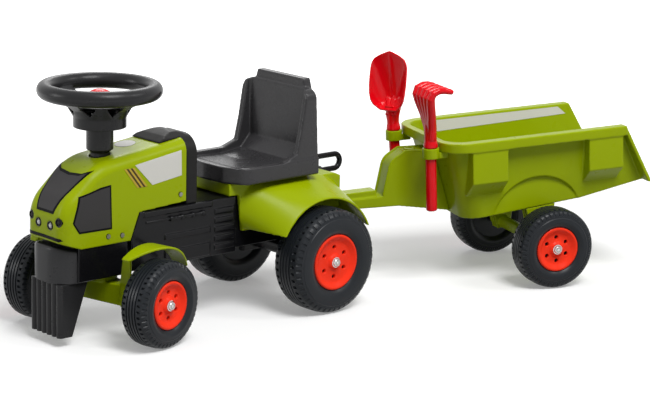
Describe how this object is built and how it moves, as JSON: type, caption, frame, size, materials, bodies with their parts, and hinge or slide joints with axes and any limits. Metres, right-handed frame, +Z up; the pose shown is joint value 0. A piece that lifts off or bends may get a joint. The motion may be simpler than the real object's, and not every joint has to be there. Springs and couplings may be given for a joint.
{
  "type": "ride-on toy tractor with trailer",
  "caption": "Child's ride-on toy tractor with steered front wheels, seat and steering wheel with horn button, pulling a single-axle tub trailer that carries a shovel and a rake.",
  "frame": {"origin": "on the floor under the middle of the whole toy's bounding box, in the posed state of the picture", "axes": "+X towards the tractor's nose, +Y to the driver's left, +Z up"},
  "size_m": [1.1706, 0.4696, 0.406],
  "materials": {
    "green_plastic": "satin gloss, moulded",
    "black_plastic": "fine grain, moulded",
    "dark_grey_plastic": "fine grain",
    "red_plastic": "glossy, moulded",
    "lamp_plastic": "glossy",
    "steel": "drawn rod",
    "bright_steel": "bright pressed",
    "tyre_plastic": "blow-moulded, dull",
    "rim_plastic": "satin gloss"
  },
  "bodies": {
    "tractor": {"chassis": "black_plastic", "front_weight": "black_plastic", "hood": "green_plastic", "cowl": "dark_grey_plastic", "front_grille": "dark_grey_plastic", "side_grille_left": "dark_grey_plastic", "side_grille_right": "dark_grey_plastic", "headlights": "lamp_plastic", "hood_screws": "steel", "rear_body": "green_plastic", "seat": "black_plastic", "rear_handle": "black_plastic", "rear_axle": "steel", "rear_axle_caps": "bright_steel", "rear_axle_spacers": "black_plastic", "hitch_pin": "black_plastic", "steering_bushes": "black_plastic"},
    "steering": {"steering_wheel": "black_plastic", "column_cover": "black_plastic", "steering_shaft": "steel", "shaft_collar": "black_plastic", "front_axle_carrier": "green_plastic", "front_fender_left": "green_plastic", "front_fender_right": "green_plastic", "front_axle": "steel", "front_axle_caps": "bright_steel"},
    "horn": {"horn_button": "red_plastic"},
    "trailer": {"trailer_tub": "green_plastic", "drawbar": "green_plastic", "trailer_axle_bracket": "green_plastic", "trailer_axle": "steel", "trailer_axle_caps": "bright_steel", "tool_ring_left": "green_plastic", "tool_ring_right": "green_plastic"},
    "rake": {"rake": "red_plastic"},
    "shovel": {"shovel": "red_plastic"},
    "rear_wheel_left": {"rear_tyre_left": "tyre_plastic", "rear_rim_left": "rim_plastic"},
    "rear_wheel_right": {"rear_tyre_right": "tyre_plastic", "rear_rim_right": "rim_plastic"},
    "front_wheel_left": {"front_tyre_left": "tyre_plastic", "front_rim_left": "rim_plastic"},
    "front_wheel_right": {"front_tyre_right": "tyre_plastic", "front_rim_right": "rim_plastic"},
    "trailer_wheel_left": {"trailer_tyre_left": "tyre_plastic", "trailer_rim_left": "rim_plastic"},
    "trailer_wheel_right": {"trailer_tyre_right": "tyre_plastic", "trailer_rim_right": "rim_plastic"}
  },
  "joints": [
    {"name": "steering_turn", "type": "hinge", "parent": "tractor", "child": "steering", "pos_m": [0.47527, -0.07326, 0.18], "axis": [0, 0, 1], "range_deg": [-31.6, 8.4]},
    {"name": "horn_press", "type": "slide", "parent": "steering", "child": "horn", "axis": [0, 0, -1], "range_m": [0, 0.004], "stiffness_N_per_m": 400, "springref_m": -0.002},
    {"name": "hitch_swing", "type": "hinge", "parent": "tractor", "child": "trailer", "pos_m": [-0.01073, -0.07326, 0.148], "axis": [0, 0, 1], "range_deg": [-29.7, 70.3]},
    {"name": "rake_lift", "type": "slide", "parent": "trailer", "child": "rake", "axis": [0.0496, -0.0183, 0.9986], "range_m": [0, 0.12]},
    {"name": "shovel_lift", "type": "slide", "parent": "trailer", "child": "shovel", "axis": [0.0904, -0.0334, 0.9953], "range_m": [0, 0.12]},
    {"name": "rear_wheel_left_spin", "type": "hinge", "parent": "tractor", "child": "rear_wheel_left", "pos_m": [0.10527, 0.04974, 0.0875], "axis": [0, 1, 0], "continuous": true},
    {"name": "rear_wheel_right_spin", "type": "hinge", "parent": "tractor", "child": "rear_wheel_right", "pos_m": [0.10527, -0.19626, 0.0875], "axis": [0, 1, 0], "continuous": true},
    {"name": "front_wheel_left_spin", "type": "hinge", "parent": "steering", "child": "front_wheel_left", "pos_m": [0.44994, 0.05017, 0.07], "axis": [-0.2011, 0.9796, 0], "continuous": true},
    {"name": "front_wheel_right_spin", "type": "hinge", "parent": "steering", "child": "front_wheel_right", "pos_m": [0.50061, -0.19669, 0.07], "axis": [-0.2011, 0.9796, 0], "continuous": true},
    {"name": "trailer_wheel_left_spin", "type": "hinge", "parent": "trailer", "child": "trailer_wheel_left", "pos_m": [-0.31431, 0.17552, 0.07], "axis": [0.3469, 0.9379, 0], "continuous": true},
    {"name": "trailer_wheel_right_spin", "type": "hinge", "parent": "trailer", "child": "trailer_wheel_right", "pos_m": [-0.40313, -0.06458, 0.07], "axis": [0.3469, 0.9379, 0], "continuous": true}
  ]
}
